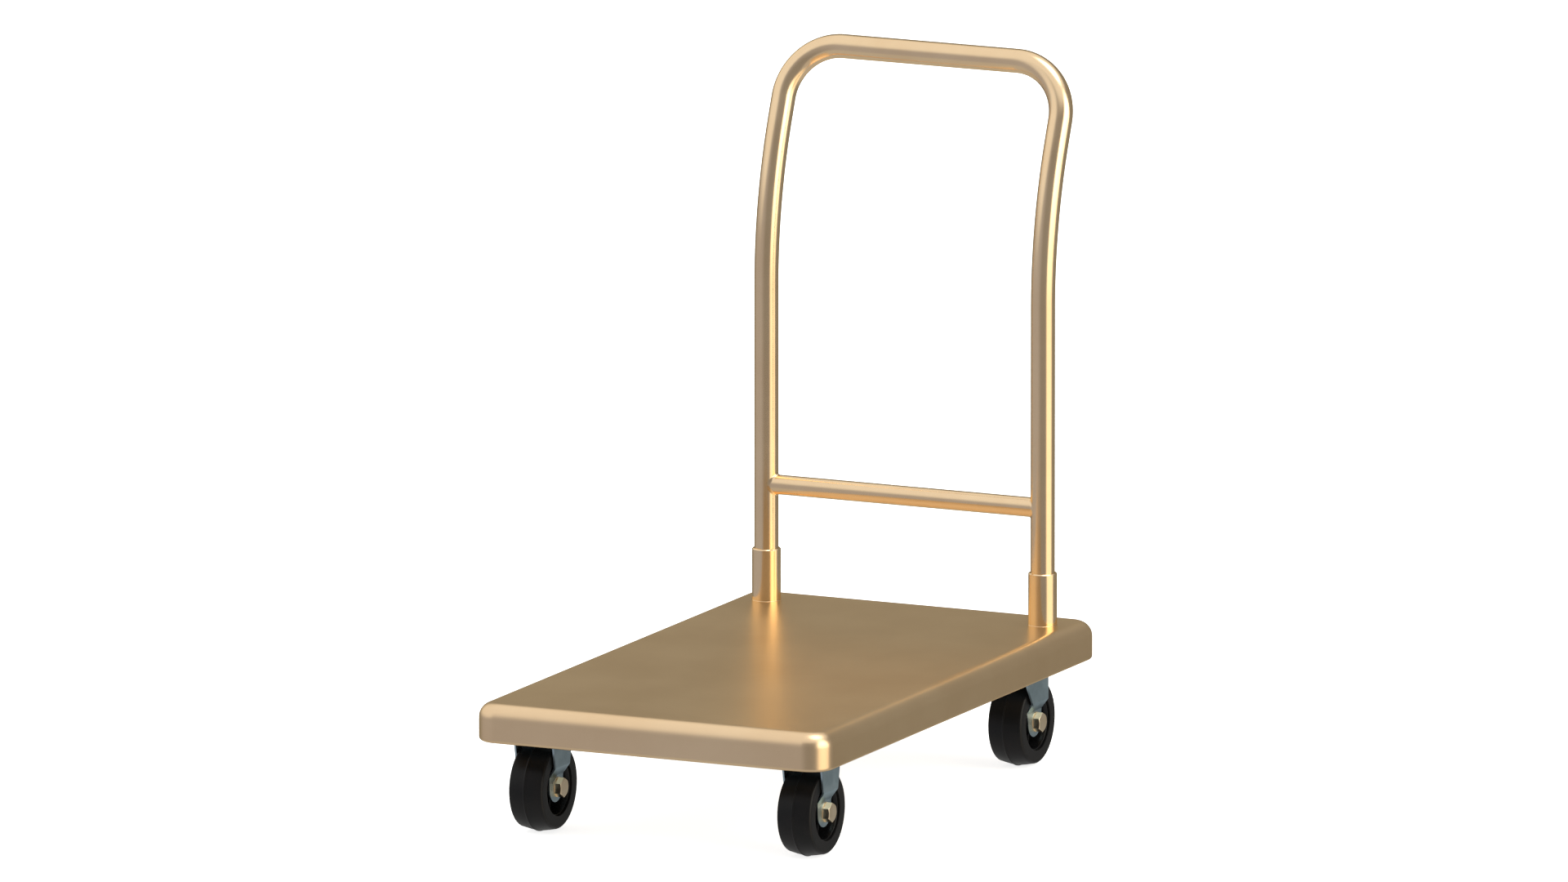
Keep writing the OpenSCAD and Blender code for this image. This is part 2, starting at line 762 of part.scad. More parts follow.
module caster_bolts(y) {
    len = plate_t + channel_t + plate_nut_h + bolt_tail;
    color(zinc) both_sides() translate([wheel_x, y, plate_under]) at_plate_holes() {
        cylinder(h = len, r = plate_bolt_r);
        mirror([0, 0, 1]) hex_head(plate_bolt_af, plate_bolt_head);
    }
}

module caster_nuts(y) {
    color(zinc) both_sides() translate([wheel_x, y, plate_top + channel_t])
        at_plate_holes() difference() {
            hex_head(plate_bolt_af, plate_nut_h);
            translate([0, 0, -eps])
                cylinder(h = plate_nut_h + 2 * eps, r = plate_bolt_r + thread_gap);
        }
}

deck_pan();
channel(front_axle_y);  // front_channel
channel(swivel_y);  // rear_channel
stiffener(-stiffener_x);  // left_stiffener
stiffener(0);  // centre_stiffener
stiffener(stiffener_x);  // right_stiffener
backing_plate(-1);  // left_backing_plate
backing_plate(1);  // right_backing_plate
socket(-1);  // left_socket
socket(1);  // right_socket
handle_tube();
cross_bar();
tube_plugs();
handle_bolts();
handle_washers();

front(-1) rigid_fork();  // front_left_fork
front(-1) on_axle() tyre();  // front_left_tyre
front(-1) on_axle() wheel_core();  // front_left_wheel_core
front(-1) on_axle() bush();  // front_left_bush
front(-1) on_axle() axle_bolt();  // front_left_axle_bolt
front(-1) on_axle() axle_nut();  // front_left_axle_nut
front(-1) on_axle() axle_washers();  // front_left_axle_washers

front(1) rigid_fork();  // front_right_fork
front(1) on_axle() tyre();  // front_right_tyre
front(1) on_axle() wheel_core();  // front_right_wheel_core
front(1) on_axle() bush();  // front_right_bush
front(1) on_axle() axle_bolt();  // front_right_axle_bolt
front(1) on_axle() axle_nut();  // front_right_axle_nut
front(1) on_axle() axle_washers();  // front_right_axle_washers
caster_bolts(front_axle_y);  // front_caster_bolts
caster_nuts(front_axle_y);  // front_caster_nuts

rear(-1) swivel_plate();  // rear_left_top_plate
rear(-1) kingpin();  // rear_left_kingpin
rear(-1) ball_ring(upper_balls, upper_ring_r, upper_ball_z, upper_ball_d);  // rear_left_upper_balls
rear(-1) ball_ring(lower_balls, lower_ring_r, lower_ball_z, lower_ball_d);  // rear_left_lower_balls
rear(-1) lower_race();  // rear_left_lower_race
rear(-1) dust_seal();  // rear_left_dust_seal
rear(-1) swivel_fork();  // rear_left_fork
rear(-1) on_axle(trail) tyre();  // rear_left_tyre
rear(-1) on_axle(trail) wheel_core();  // rear_left_wheel_core
rear(-1) on_axle(trail) bush();  // rear_left_bush
rear(-1) on_axle(trail) axle_bolt();  // rear_left_axle_bolt
rear(-1) on_axle(trail) axle_nut();  // rear_left_axle_nut
rear(-1) on_axle(trail) axle_washers();  // rear_left_axle_washers

rear(1) swivel_plate();  // rear_right_top_plate
rear(1) kingpin();  // rear_right_kingpin
rear(1) ball_ring(upper_balls, upper_ring_r, upper_ball_z, upper_ball_d);  // rear_right_upper_balls
rear(1) ball_ring(lower_balls, lower_ring_r, lower_ball_z, lower_ball_d);  // rear_right_lower_balls
rear(1) lower_race();  // rear_right_lower_race
rear(1) dust_seal();  // rear_right_dust_seal
rear(1) swivel_fork();  // rear_right_fork
rear(1) on_axle(trail) tyre();  // rear_right_tyre
rear(1) on_axle(trail) wheel_core();  // rear_right_wheel_core
rear(1) on_axle(trail) bush();  // rear_right_bush
rear(1) on_axle(trail) axle_bolt();  // rear_right_axle_bolt
rear(1) on_axle(trail) axle_nut();  // rear_right_axle_nut
rear(1) on_axle(trail) axle_washers();  // rear_right_axle_washers
caster_bolts(swivel_y);  // rear_caster_bolts
caster_nuts(swivel_y);  // rear_caster_nuts
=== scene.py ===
import math
import bmesh
import bpy
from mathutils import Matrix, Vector


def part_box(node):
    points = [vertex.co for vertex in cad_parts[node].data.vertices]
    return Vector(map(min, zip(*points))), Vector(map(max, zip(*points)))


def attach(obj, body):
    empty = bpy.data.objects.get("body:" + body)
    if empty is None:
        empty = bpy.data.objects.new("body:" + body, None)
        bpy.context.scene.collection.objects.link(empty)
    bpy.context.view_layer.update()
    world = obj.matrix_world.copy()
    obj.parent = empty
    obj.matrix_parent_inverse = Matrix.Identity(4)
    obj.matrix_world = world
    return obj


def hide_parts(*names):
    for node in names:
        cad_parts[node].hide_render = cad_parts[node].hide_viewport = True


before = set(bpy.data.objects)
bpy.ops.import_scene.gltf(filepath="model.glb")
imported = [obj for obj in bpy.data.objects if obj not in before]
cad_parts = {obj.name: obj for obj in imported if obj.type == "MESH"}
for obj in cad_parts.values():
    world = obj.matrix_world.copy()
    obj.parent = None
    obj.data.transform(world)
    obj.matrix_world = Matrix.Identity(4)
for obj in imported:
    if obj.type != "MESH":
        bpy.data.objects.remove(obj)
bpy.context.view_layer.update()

mm = 0.001
sides = {"left": -1, "right": 1}
casters = [end + "_" + side for end in ("front", "rear") for side in sides]
print("frame loaded", len(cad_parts), "nodes")

# a camera far off with a very long lens, so parallel edges stay parallel
cameraView = {
    "azimuth": 25.06,           # degrees round from the front
    "elevation": 11.01,
    "lens": 900.0,
    "sensor": 36.0,
    "viewWidth": 2.1533,        # metres across the view at the middle of the cart
    "right": -0.0044,           # metres from the deck's centre line to the middle of the view
    "up": 0.4872,
}
azimuth, elevation = math.radians(cameraView["azimuth"]), math.radians(cameraView["elevation"])
cameraRight = Vector((math.cos(azimuth), math.sin(azimuth), 0))
cameraBack = Vector((math.sin(azimuth) * math.cos(elevation),
                     -math.cos(azimuth) * math.cos(elevation), math.sin(elevation)))
cameraUp = cameraBack.cross(cameraRight)
deckLow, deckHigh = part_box("deck_pan")
deckMiddle = (deckLow + deckHigh) / 2
aim = Vector((0, deckMiddle.y, 0)) + cameraRight * cameraView["right"] + cameraUp * cameraView["up"]
distance = cameraView["viewWidth"] * cameraView["lens"] / cameraView["sensor"]

bpy.ops.object.select_all(action="DESELECT")
bpy.ops.object.camera_add(location=aim + cameraBack * distance)
camera = bpy.context.object
camera.name = "studioCamera"
camera.rotation_mode = "QUATERNION"
camera.rotation_quaternion = (-cameraBack).to_track_quat("-Z", "Y")
camera.data.lens = cameraView["lens"]
camera.data.sensor_width = cameraView["sensor"]
camera.data.clip_start = 1.0
camera.data.clip_end = distance * 2
bpy.context.scene.camera = camera
bpy.context.scene.view_settings.view_transform = "Standard"
print("camera set")


def hexColour(code):
    # an sRGB hex value as linear red, green, blue and alpha
    parts = [int(code[i:i + 2], 16) / 255 for i in (1, 3, 5)]
    return [c / 12.92 if c <= 0.04045 else ((c + 0.055) / 1.055) ** 2.4 for c in parts] + [1.0]


def addNode(tree, kind, settings=None, inputs=None, links=None):
    # a node with its settings, its socket values, and links from (node, output) to its sockets
    node = tree.nodes.new(kind)
    for key, value in (settings or {}).items():
        setattr(node, key, value)
    for key, value in (inputs or {}).items():
        node.inputs[key].default_value = value
    for key, (source, output) in (links or {}).items():
        tree.links.new(source.outputs[output], node.inputs[key])
    return node


def newMaterial(name):
    material = bpy.data.materials.new(name)
    material.use_nodes = True
    material.node_tree.nodes.clear()
    return material, material.node_tree


def surfaceMaterial(name, look):
    # a colour and a roughness that drift over the surface, with flecks and a bump of fine grain
    material, tree = newMaterial(name)
    place = addNode(tree, "ShaderNodeTexCoord")
    drift = addNode(tree, "ShaderNodeTexNoise",
                    inputs={"Scale": 1 / (look["driftSize"] * mm), "Detail": 4.0, "Roughness": 0.6},
                    links={"Vector": (place, "Object")})
    speck = addNode(tree, "ShaderNodeTexNoise",
                    inputs={"Scale": 1 / (look["speckSize"] * mm), "Detail": 2.0, "Roughness": 0.7},
                    links={"Vector": (place, "Object")})
    toPale = addNode(tree, "ShaderNodeMapRange", inputs={"From Min": 0.35, "From Max": 0.65},
                     links={"Value": (drift, "Fac")})
    tone = addNode(tree, "ShaderNodeMix", {"data_type": "RGBA"},
                   {"A": hexColour(look["deep"]), "B": hexColour(look["pale"])},
                   {"Factor": (toPale, "Result")})
    fleck = addNode(tree, "ShaderNodeMapRange",
                    inputs={"From Min": 0.3, "From Max": 0.7,
                            "To Min": 1 - look["fleck"], "To Max": 1 + look["fleck"]},
                    links={"Value": (speck, "Fac")})
    colour = addNode(tree, "ShaderNodeMix", {"data_type": "RGBA", "blend_type": "MULTIPLY"},
                     {"Factor": 1.0}, {"A": (tone, "Result"), "B": (fleck, "Result")})
    rough = addNode(tree, "ShaderNodeMapRange",
                    inputs={"From Min": 0.3, "From Max": 0.7,
                            "To Min": look["roughness"][0], "To Max": look["roughness"][1]},
                    links={"Value": (drift, "Fac")})
    bump = addNode(tree, "ShaderNodeBump",
                   inputs={"Strength": look["bump"], "Distance": look["grain"] * mm},
                   links={"Height": (speck, "Fac")})
    shader = addNode(tree, "ShaderNodeBsdfPrincipled", inputs=look["shader"],
                     links={"Base Color": (colour, "Result"), "Roughness": (rough, "Result"),
                            "Normal": (bump, "Normal")})
    addNode(tree, "ShaderNodeOutputMaterial", links={"Surface": (shader, "BSDF")})
    return material


# sizes of drift, speck and grain are in millimetres

# titanium-gold coated stainless steel, bead blasted to a satin: warm champagne, soft wide highlights
satinGold = surfaceMaterial("titanium gold stainless, satin blasted", {
    "pale": "#efd2ac", "deep": "#eacba4", "roughness": (0.298, 0.322),
    "driftSize": 160, "speckSize": 0.8, "fleck": 0.012, "bump": 0.01, "grain": 0.03,
    "shader": {"Metallic": 1.0, "Specular Tint": hexColour("#fff3d7")}})

# the same coating on drawn and polished tube: tighter streaks of light along its length
tubeGold = surfaceMaterial("titanium gold stainless tube, fine satin", {
    "pale": "#f4d7b0", "deep": "#efd0a8", "roughness": (0.17, 0.20),
    "driftSize": 90, "speckSize": 0.6, "fleck": 0.005, "bump": 0.0015, "grain": 0.02,
    "shader": {"Metallic": 1.0, "Specular Tint": hexColour("#fff3d7")}})

# pressed steel, bright zinc plated and passivated: cool blue grey with faint clouding
zincPlate = surfaceMaterial("steel, blue passivated zinc plate", {
    "pale": "#b5c6ce", "deep": "#a6b7bf", "roughness": (0.30, 0.42),
    "driftSize": 22, "speckSize": 0.8, "fleck": 0.03, "bump": 0.08, "grain": 0.04,
    "shader": {"Metallic": 1.0, "Specular Tint": hexColour("#dbe4e8")}})

# bolts and washers in yellow passivated zinc: pale straw colour, cut facets that catch the light
yellowZinc = surfaceMaterial("steel, yellow passivated zinc", {
    "pale": "#fbead0", "deep": "#f3dfc0", "roughness": (0.28, 0.32),
    "driftSize": 30, "speckSize": 0.5, "fleck": 0.02, "bump": 0.02, "grain": 0.02,
    "shader": {"Metallic": 1.0, "Specular Tint": hexColour("#fff6e4")}})

# folded channels under the deck, galvanised sheet: dull grey with spangles
frameSteel = surfaceMaterial("galvanised steel sheet, folded", {
    "pale": "#a9adb0", "deep": "#8e9396", "roughness": (0.38, 0.52),
    "driftSize": 11, "speckSize": 1.5, "fleck": 0.05, "bump": 0.08, "grain": 0.05,
    "shader": {"Metallic": 1.0, "Specular Tint": hexColour("#c9cdd0")}})

# hardened and ground bearing balls and races: near mirror
bearingSteel = surfaceMaterial("bearing steel, ground", {
    "pale": "#c9ccd0", "deep": "#b9bcc1", "roughness": (0.12, 0.2),
    "driftSize": 6, "speckSize": 0.5, "fleck": 0.02, "bump": 0.02, "grain": 0.02,
    "shader": {"Metallic": 1.0, "Specular Tint": hexColour("#e6e8ea")}})

# moulded black rubber tread: near black, broad soft sheen
tyreRubber = surfaceMaterial("rubber, moulded tyre", {
    "pale": "#110f0f", "deep": "#0c0c0c", "roughness": (0.34, 0.42),
    "driftSize": 25, "speckSize": 0.7, "fleck": 0.12, "bump": 0.12, "grain": 0.08,
    "shader": {"IOR": 1.5, "Specular IOR Level": 0.2}})

# black polypropylene wheel centre, moulded: slightly glossier than the tyre
wheelPlastic = surfaceMaterial("polypropylene, moulded wheel centre", {
    "pale": "#0f0f10", "deep": "#0a0a0b", "roughness": (0.2, 0.27),
    "driftSize": 18, "speckSize": 0.9, "fleck": 0.1, "bump": 0.05, "grain": 0.05,
    "shader": {"IOR": 1.49, "Specular IOR Level": 0.3}})

# dust seals of nitrile rubber: dark grey, matt
sealRubber = surfaceMaterial("nitrile rubber seal", {
    "pale": "#2a2a2b", "deep": "#202021", "roughness": (0.55, 0.65),
    "driftSize": 12, "speckSize": 0.6, "fleck": 0.1, "bump": 0.1, "grain": 0.05,
    "shader": {"IOR": 1.5}})
print("materials made")


def clearSelection():
    if bpy.context.mode != "OBJECT":
        bpy.ops.object.mode_set(mode="OBJECT")
    bpy.ops.object.select_all(action="DESELECT")


def selectOnly(piece):
    clearSelection()
    piece.select_set(True)
    bpy.context.view_layer.objects.active = piece


def openForEditing(piece):
    selectOnly(piece)
    bpy.ops.object.mode_set(mode="EDIT")
    bpy.ops.mesh.select_mode(type="VERT")
    bpy.ops.mesh.select_all(action="DESELECT")


def pick(piece, kind, test):
    # in edit mode, select the edges or faces that pass a test of their place
    bpy.ops.mesh.select_mode(type={"edges": "EDGE", "faces": "FACE"}[kind])
    bpy.ops.mesh.select_all(action="DESELECT")
    mesh = bmesh.from_edit_mesh(piece.data)
    for part in getattr(mesh, kind):
        if test(part):
            part.select_set(True)
    mesh.select_flush_mode()
    bmesh.update_edit_mesh(piece.data)


def edgeMiddle(edge):
    return (edge.verts[0].co + edge.verts[1].co) / 2


def edgeWay(edge):
    return (edge.verts[1].co - edge.verts[0].co).normalized()


def normalsOutward():
    bpy.ops.mesh.select_all(action="SELECT")
    bpy.ops.mesh.normals_make_consistent(inside=False)
    clearSelection()


def applyModifier(piece, kind, **settings):
    selectOnly(piece)
    modifier = piece.modifiers.new(kind.lower(), kind)
    for key, value in settings.items():
        setattr(modifier, key, value)
    bpy.ops.object.modifier_apply(modifier=modifier.name)


def settle(piece):
    # put the place, turn and size into the mesh, so the object sits at the origin
    selectOnly(piece)
    bpy.ops.object.transform_apply(location=True, rotation=True, scale=True)


def smooth(piece, angle=35):
    selectOnly(piece)
    bpy.ops.object.shade_smooth_by_angle(angle=math.radians(angle))
    applyModifier(piece, "WEIGHTED_NORMAL", keep_sharp=True, weight=80)


def softenEdges(piece, width, segments, angle):
    applyModifier(piece, "BEVEL", width=width, segments=segments, limit_method="ANGLE",
                  angle_limit=math.radians(angle), use_clamp_overlap=True, harden_normals=False)


def finishPiece(piece, name, body, material, node):
    piece.name = name
    piece.data.name = name
    piece.data.materials.clear()
    piece.data.materials.append(material)
    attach(piece, body)
    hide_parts(node)


def copyOf(piece, shift=(0, 0, 0)):
    # a copy with its own mesh, moved in the mesh
    selectOnly(piece)
    bpy.ops.object.duplicate(linked=False)
    copy = bpy.context.object
    copy.parent = None
    openForEditing(copy)
    bpy.ops.mesh.select_all(action="SELECT")
    bpy.ops.transform.translate(value=shift)
    clearSelection()
    return copy


def turned(corners, centre, axis, steps):
    # a ring's section, drawn corner by corner and spun about X or Z through centre;
    # each corner is (radius, place along the axis)
    out = Vector((axis.z, 0, axis.x))
    spots = [centre + out * radius + axis * along for radius, along in corners]
    clearSelection()
    bpy.ops.mesh.primitive_plane_add(size=1 * mm, location=spots[0])
    piece = bpy.context.object
    openForEditing(piece)
    bpy.ops.mesh.select_all(action="SELECT")
    bpy.ops.mesh.merge(type="CENTER")
    for before, after in zip(spots, spots[1:]):
        bpy.ops.mesh.extrude_vertices_move(TRANSFORM_OT_translate={"value": after - before})
    mesh = bmesh.from_edit_mesh(piece.data)
    bpy.ops.mesh.select_all(action="DESELECT")
    for v in mesh.verts:
        v.select_set(len(v.link_edges) == 1)    # the section's two loose ends
    bmesh.update_edit_mesh(piece.data)
    bpy.ops.mesh.edge_face_add()
    bpy.ops.mesh.select_all(action="SELECT")
    bpy.ops.mesh.spin(steps=steps, angle=math.tau, center=centre, axis=axis)
    bpy.ops.mesh.select_all(action="SELECT")
    bpy.ops.mesh.remove_doubles(threshold=0.001 * mm)
    normalsOutward()
    settle(piece)
    return piece


# the deck: a block rounded at its corners and edges, opened below and made a pressed sheet
deck = {
    "cornerRadius": 34.5 * mm, "cornerSteps": 20,
    "topRadius": 21 * mm, "topSteps": 12,
    "lipRadius": 5.2 * mm, "lipSteps": 5,
    "lipWidth": 1.5 * mm,
    "sheet": 2 * mm,
    "edgeBreak": 0.3 * mm,
}
near = 0.1 * mm                 # how close to a level an edge lies to count as on it
clearSelection()
bpy.ops.mesh.primitive_cube_add(size=1, location=deckMiddle, scale=deckHigh - deckLow)
deckShell = bpy.context.object
settle(deckShell)
openForEditing(deckShell)
pick(deckShell, "edges", lambda e: abs(edgeWay(e).z) > 0.9)
bpy.ops.mesh.bevel(offset=deck["cornerRadius"], segments=deck["cornerSteps"], profile=0.5)
pick(deckShell, "edges", lambda e: all(v.co.z > deckHigh.z - near for v in e.verts))
bpy.ops.mesh.bevel(offset=deck["topRadius"], segments=deck["topSteps"], profile=0.5)
pick(deckShell, "edges", lambda e: all(v.co.z < deckLow.z + near for v in e.verts))
bpy.ops.mesh.bevel(offset=deck["lipRadius"], segments=deck["lipSteps"], profile=0.5)
pick(deckShell, "faces", lambda f: f.normal.z < -0.99 and f.calc_area() > 0.1)
bpy.ops.mesh.inset(thickness=deck["lipWidth"])
bpy.ops.mesh.delete(type="FACE")
clearSelection()
applyModifier(deckShell, "SOLIDIFY", thickness=deck["sheet"], offset=-1.0, use_even_offset=True)
softenEdges(deckShell, deck["edgeBreak"], 2, 50)
smooth(deckShell)
finishPiece(deckShell, "deck_shell", "root", satinGold, "deck_pan")
print("deck made")

# the handle: half of one bent tube, from its foot to the middle of the push bar, and mirrored
handle = {
    "radius": 16.85 * mm, "sidesRound": 64,
    "leanStart": 632 * mm, "leanRadius": 597 * mm, "leanAngle": 22.0, "leanSteps": 28,
    "barBend": 78 * mm, "barSteps": 32,
    "barHeight": 958.5 * mm,
    "postX": 210.2 * mm,
    "seam": 0.05 * mm,          # how close the two halves' points must be to join
}
socketLow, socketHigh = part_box("right_socket")
postY = (socketLow.y + socketHigh.y) / 2
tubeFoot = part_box("handle_tube")[0].z
lean = math.radians(handle["leanAngle"])
leanTop = Vector((handle["postX"], postY + handle["leanRadius"] * (1 - math.cos(lean)),
                  handle["leanStart"] + handle["leanRadius"] * math.sin(lean)))
leanWay = Vector((0, math.sin(lean), math.cos(lean)))
straight = (handle["barHeight"] - leanTop.z) / math.cos(lean) - handle["barBend"]
bendCentre = leanTop + leanWay * straight - Vector((handle["barBend"], 0, 0))

clearSelection()
bpy.ops.mesh.primitive_circle_add(vertices=handle["sidesRound"], radius=handle["radius"],
                                  location=(handle["postX"], postY, tubeFoot), fill_type="NOTHING")
handleTube = bpy.context.object
openForEditing(handleTube)
bpy.ops.mesh.select_all(action="SELECT")
bpy.ops.mesh.extrude_region_move(
    TRANSFORM_OT_translate={"value": (0, 0, handle["leanStart"] - tubeFoot)})
bpy.ops.mesh.spin(steps=handle["leanSteps"], angle=lean, axis=(1, 0, 0),
                  center=(handle["postX"], postY + handle["leanRadius"], handle["leanStart"]))
bpy.ops.mesh.extrude_region_move(TRANSFORM_OT_translate={"value": leanWay * straight})
bpy.ops.mesh.spin(steps=handle["barSteps"], angle=math.pi / 2, axis=(0, leanWay.z, -leanWay.y),
                  center=bendCentre)
bpy.ops.mesh.extrude_region_move(
    TRANSFORM_OT_translate={"value": (-(handle["postX"] - handle["barBend"]), 0, 0)})
clearSelection()
settle(handleTube)
applyModifier(handleTube, "MIRROR", use_axis=(True, False, False), use_clip=True,
              merge_threshold=handle["seam"])
openForEditing(handleTube)
pick(handleTube, "edges", lambda e: all(v.co.z < tubeFoot + near for v in e.verts))
bpy.ops.mesh.edge_face_add()
normalsOutward()
smooth(handleTube, 40)
finishPiece(handleTube, "push_handle", "root", tubeGold, "handle_tube")
print("handle made")

# the cross bar, with a weld run round each end on a hollow fillet
crossBar = {
    "radius": 13.8 * mm, "height": 352 * mm, "sidesRound": 64,
    "endGap": 40 * mm,          # from its plain end to the post's centre line, before the weld
    "weldReach": 3.2 * mm,      # how far the weld runs along the bar
    "weldRise": 2.4 * mm,       # how far it climbs the post, above and below the bar
    "weldSide": 0.45,           # its share of that beside the bar, where the post falls away
    "weldRings": 5,
    "clear": 0.02 * mm,         # between the weld's last ring and the post
}
clearSelection()
bpy.ops.mesh.primitive_cylinder_add(
    vertices=crossBar["sidesRound"], radius=crossBar["radius"],
    depth=2 * (handle["postX"] - crossBar["endGap"]), end_fill_type="NOTHING",
    location=(0, postY, crossBar["height"]), rotation=(0, math.pi / 2, 0))
crossTube = bpy.context.object
settle(crossTube)
openForEditing(crossTube)
for side in sides.values():
    for ring in range(crossBar["weldRings"]):
        # each new ring lies a step nearer the post and a little wider
        turn = ring / (crossBar["weldRings"] - 1) * math.pi / 2
        gap = crossBar["weldReach"] * (1 - math.sin(turn)) + crossBar["clear"]
        rise = crossBar["weldRise"] * (1 - math.cos(turn))
        pick(crossTube, "edges", lambda e: e.is_boundary and edgeMiddle(e).x * side > 0)
        bpy.ops.mesh.extrude_region_move(TRANSFORM_OT_translate={"value": (side * mm, 0, 0)})
        mesh = bmesh.from_edit_mesh(crossTube.data)
        for v in mesh.verts:
            if v.select:
                out = Vector((0, v.co.y - postY, v.co.z - crossBar["height"])).normalized()
                spread = rise * (abs(out.z) + crossBar["weldSide"] * (1 - abs(out.z)))
                y, z = [out[i] * (crossBar["radius"] + spread) for i in (1, 2)]
                depth = math.sqrt(max(handle["radius"] ** 2 - y * y, 0))
                v.co = Vector((side * (handle["postX"] - depth - gap), postY + y,
                               crossBar["height"] + z))
        bmesh.update_edit_mesh(crossTube.data)
    pick(crossTube, "edges", lambda e: e.is_boundary and edgeMiddle(e).x * side > 0)
    bpy.ops.mesh.edge_face_add()
normalsOutward()
smooth(crossTube, 50)
finishPiece(crossTube, "cross_tube", "root", tubeGold, "cross_bar")
print("cross bar made")

# the sockets: sleeves with a chamfered mouth and a small weld round the foot
socket = {
    "outer": 20 * mm, "bore": 17 * mm, "chamfer": 1.4 * mm,
    "weld": 0.4 * mm,
    "footSunk": 0.5 * mm,       # how far the foot goes below the deck's face
    "edgeBreak": 0.35 * mm, "steps": 96,
}
socketTop, deckTop = socketHigh.z, deckHigh.z
weldEdge = socket["outer"] + socket["weld"]
socketSection = [
    (socket["bore"], deckTop - socket["footSunk"]), (weldEdge, deckTop - socket["footSunk"]),
    (weldEdge, deckTop + 0.05 * mm),
    (socket["outer"] + 0.4 * socket["weld"], deckTop + 0.4 * socket["weld"]),
    (socket["outer"], deckTop + socket["weld"]),
    (socket["outer"], socketTop - socket["chamfer"]),
    (socket["outer"] - socket["chamfer"], socketTop), (socket["bore"], socketTop)]
for name, side in sides.items():
    sleeve = turned(socketSection, Vector((side * handle["postX"], postY, 0)), Vector((0, 0, 1)),
                    socket["steps"])
    softenEdges(sleeve, socket["edgeBreak"], 3, 25)
    smooth(sleeve)
    finishPiece(sleeve, name + "_socket_sleeve", "root", tubeGold, name + "_socket")
print("sockets made")

# the tyre, drawn once about the front right axle: half its section, outward from the tread's middle
tyre = {
    "tread": 61.6 * mm,         # radius of the tread beside its moulded ridge
    "ridge": 0.9 * mm, "ridgeHalf": 1.6 * mm,
    "fall": 3.4 * mm, "treadHalf": 21 * mm, "treadSteps": 4,
    "half": 25.5 * mm, "shoulder": 4.5 * mm, "shoulderSteps": 6,
    "opening": 39.4 * mm, "rounding": 1.2 * mm,
    "seat": 42.5 * mm, "seatHalf": 22 * mm,
    "steps": 128,
}
wheelLow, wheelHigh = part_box("front_right_tyre")
axle = (wheelLow + wheelHigh) / 2
wheelAxis = Vector((1, 0, 0))
edgeRadius = tyre["tread"] - tyre["fall"]
tyreHalf = [
    (tyre["tread"] + tyre["ridge"], 0.3 * mm),
    (tyre["tread"] + 0.62 * tyre["ridge"], 0.6 * tyre["ridgeHalf"]),
    (tyre["tread"], tyre["ridgeHalf"])]
for i in range(1, tyre["treadSteps"] + 1):
    # the tread falls off in a slight curve, steeper towards its edge
    t = i / tyre["treadSteps"]
    tyreHalf.append((tyre["tread"] - tyre["fall"] * (0.75 * t + 0.25 * t * t),
                     tyre["ridgeHalf"] + (tyre["treadHalf"] - tyre["ridgeHalf"]) * t))
for i in range(1, tyre["shoulderSteps"] + 1):
    turn = i / tyre["shoulderSteps"] * math.pi / 2
    tyreHalf.append((edgeRadius - tyre["shoulder"] * (1 - math.cos(turn)),
                     tyre["half"] - tyre["shoulder"] * (1 - math.sin(turn))))
tyreHalf += [
    (tyre["opening"] + tyre["rounding"], tyre["half"]),
    (tyre["opening"] + tyre["rounding"] / 4, tyre["half"] - tyre["rounding"] / 3),
    (tyre["opening"], tyre["half"] - tyre["rounding"]),
    (tyre["opening"], tyre["seatHalf"]), (tyre["seat"], tyre["seatHalf"])]
tyreMaster = turned(tyreHalf[::-1] + [(r, -x) for r, x in tyreHalf], axle, wheelAxis, tyre["steps"])
smooth(tyreMaster, 40)

# the wheel's centre: a hub, a web and a rim in one turned shape, with ribs between hub and rim
wheelCentre = {
    "hub": 17 * mm, "hubHalf": 16 * mm, "bore": 11.09 * mm,
    "webHalf": 3.5 * mm, "webEnd": 33 * mm,
    "ledge": 35 * mm, "ledgeHalf": 14.6 * mm,
    "rimIn": 38 * mm, "rimHalf": 22 * mm, "rimOut": 42.5 * mm,
    "ribs": 8, "ribThick": 2.2 * mm, "ribHalf": 10.5 * mm, "ribEnd": 34.2 * mm,
    "ribSunk": 1 * mm, "ribRound": 0.5 * mm,
    "steps": 96, "edgeBreak": 0.5 * mm,
}
centreHalf = [
    (wheelCentre["bore"], wheelCentre["hubHalf"]), (wheelCentre["hub"], wheelCentre["hubHalf"]),
    (wheelCentre["hub"], wheelCentre["webHalf"]), (wheelCentre["webEnd"], wheelCentre["webHalf"]),
    (wheelCentre["ledge"], wheelCentre["ledgeHalf"]), (wheelCentre["rimIn"], wheelCentre["rimHalf"]),
    (wheelCentre["rimOut"], wheelCentre["rimHalf"])]
centreMaster = turned(centreHalf + [(r, -x) for r, x in centreHalf[::-1]], axle, wheelAxis,
                      wheelCentre["steps"])
softenEdges(centreMaster, wheelCentre["edgeBreak"], 2, 25)
ribStart = wheelCentre["hub"] - wheelCentre["ribSunk"]
ribs = []
for i in range(wheelCentre["ribs"]):
    clearSelection()
    bpy.ops.mesh.primitive_cube_add(
        size=1, location=axle + Vector((0, 0, (ribStart + wheelCentre["ribEnd"]) / 2)),
        scale=(2 * wheelCentre["ribHalf"], wheelCentre["ribThick"], wheelCentre["ribEnd"] - ribStart))
    rib = bpy.context.object
    settle(rib)
    openForEditing(rib)
    pick(rib, "edges", lambda e: abs(edgeWay(e).z) > 0.9)
    bpy.ops.mesh.bevel(offset=wheelCentre["ribRound"], segments=2)
    bpy.ops.mesh.select_all(action="SELECT")
    bpy.ops.transform.rotate(value=math.tau * i / wheelCentre["ribs"], orient_axis="X",
                             orient_type="GLOBAL", center_override=axle)
    ribs.append(rib)
clearSelection()
